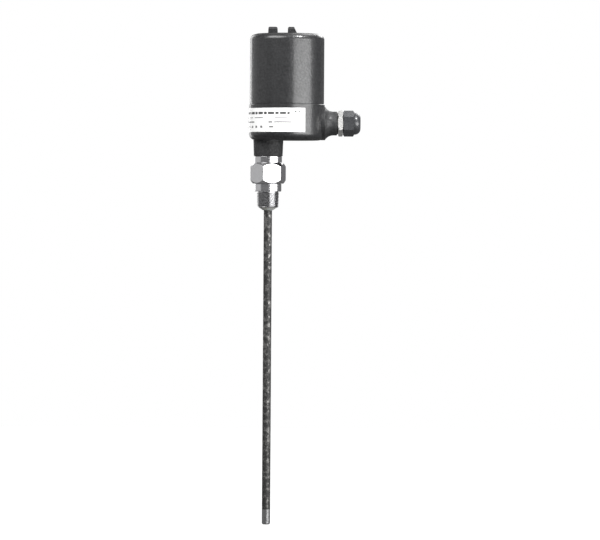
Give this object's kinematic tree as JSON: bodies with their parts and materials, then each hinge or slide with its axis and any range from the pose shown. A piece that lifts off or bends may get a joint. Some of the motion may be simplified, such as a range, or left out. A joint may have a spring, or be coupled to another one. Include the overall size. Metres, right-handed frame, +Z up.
{
  "type": "rod probe level switch",
  "caption": "Rod probe level switch: dark cast housing with a screw cover, side cable gland, hexagon taper-thread fitting and a long sheathed rod.",
  "frame": {"origin": "on the rod's axis, in the plane of the shoulder above the taper thread", "axes": "+Z up along the rod's axis towards the housing, +X towards the cable gland"},
  "size_m": [0.1343, 0.0986, 0.597],
  "materials": {
    "painted_casting": "die casting with satin dark grey paint",
    "dark_steel": "blackened steel",
    "liner_board": "pressed insulating board",
    "seal_rubber": "matt black rubber",
    "plate_white": "thin sheet, white enamel",
    "bright_steel": "zinc plated steel",
    "fibre_black": "hard fibre washer",
    "plated_brass": "nickel plated brass",
    "gland_black": "moulded black polyamide",
    "bare_brass": "bare brass",
    "stainless": "turned stainless steel",
    "bush_white": "turned white fluoropolymer",
    "sheath_dark": "mottled dark sheath",
    "lead_red": "red silicone lead",
    "chassis_alloy": "bare rolled sheet",
    "board_green": "glass fibre board with green mask",
    "core_steel": "stacked steel laminations",
    "coil_tape": "winding under amber tape",
    "relay_blue": "moulded blue plastic",
    "can_dark": "sleeved capacitor cans",
    "fuse_glass": "glass tube with metal caps, as one solid",
    "part_black": "moulded black plastic",
    "block_green": "moulded green plastic",
    "knob_white": "moulded white plastic",
    "lamp_green": "tinted lens",
    "lamp_red": "tinted lens"
  },
  "bodies": {
    "base": {"housing_base": "painted_casting", "nameplate": "plate_white", "outer_earth_screw": "bright_steel", "outer_earth_washer": "bright_steel", "inner_earth_screw": "bright_steel", "inner_earth_washer": "bright_steel", "gland_washer": "fibre_black", "gland_body": "plated_brass", "gland_seal": "seal_rubber", "process_fitting": "stainless", "neck_seal": "seal_rubber", "lower_bush": "bush_white", "upper_bush": "bush_white", "rod_seals": "seal_rubber", "seal_spacer": "stainless", "probe_rod": "stainless", "probe_sheath": "sheath_dark", "probe_tip": "stainless", "clamp_washer": "bright_steel", "rod_nuts": "bright_steel", "probe_lug": "bare_brass", "probe_lead": "lead_red", "chassis_plate": "chassis_alloy", "chassis_screws": "bright_steel", "lead_grommet": "seal_rubber", "lower_spacers": "bare_brass", "power_board": "board_green", "transformer_core": "core_steel", "transformer_coil": "coil_tape", "relay": "relay_blue", "capacitors": "can_dark", "fuse_clips": "bare_brass", "fuse": "fuse_glass", "probe_pin": "bare_brass", "board_link": "part_black", "upper_spacers": "bare_brass", "signal_board": "board_green", "board_screws": "bright_steel", "terminal_block": "block_green", "terminal_screws": "bright_steel", "sensitivity_trimmer": "relay_blue", "delay_trimmer": "relay_blue", "failsafe_switch": "part_black", "power_lamp": "lamp_green", "output_lamp": "lamp_red", "chips": "part_black"},
    "liner": {"insulating_liner": "liner_board"},
    "seal": {"cover_seal": "seal_rubber"},
    "cover": {"cover": "painted_casting", "cover_lock_screw": "dark_steel"},
    "thrust_ring": {"gland_thrust_ring": "bare_brass"},
    "nut": {"gland_nut": "gland_black"},
    "sensitivity": {"sensitivity_screw": "knob_white"},
    "delay": {"delay_screw": "knob_white"},
    "failsafe": {"failsafe_slider": "knob_white"}
  },
  "joints": [
    {"name": "cover_lift", "type": "slide", "parent": "base", "child": "liner", "axis": [0, 0, 1], "range_m": [0, 0.09]},
    {"name": "cover_rise", "type": "slide", "parent": "liner", "child": "seal", "axis": [0, 0, 1], "range_m": [0, 0.012]},
    {"name": "cover_turn", "type": "hinge", "parent": "seal", "child": "cover", "pos_m": [0.022, 0, 0.1045], "axis": [0, 0, 1], "range_deg": [0, 2160]},
    {"name": "gland_ring_slide", "type": "slide", "parent": "base", "child": "thrust_ring", "axis": [1, 0, 0], "range_m": [0, 0.009]},
    {"name": "gland_nut_turn", "type": "hinge", "parent": "thrust_ring", "child": "nut", "pos_m": [0.0892, 0, 0.082], "axis": [1, 0, 0], "range_deg": [0, 2160]},
    {"name": "sensitivity_turn", "type": "hinge", "parent": "base", "child": "sensitivity", "pos_m": [0.013, -0.015, 0.1426], "axis": [0, 0, -1], "range_deg": [0, 270]},
    {"name": "delay_turn", "type": "hinge", "parent": "base", "child": "delay", "pos_m": [0.013, 0.015, 0.1426], "axis": [0, 0, -1], "range_deg": [0, 270]},
    {"name": "failsafe_slide", "type": "slide", "parent": "base", "child": "failsafe", "axis": [0, 1, 0], "range_m": [0, 0.003]}
  ],
  "couplings": [
    {"joint": "cover_rise", "follows": "cover_turn", "m_per_rad": 0.0003183},
    {"joint": "gland_ring_slide", "follows": "gland_nut_turn", "m_per_rad": 0.00023873}
  ]
}
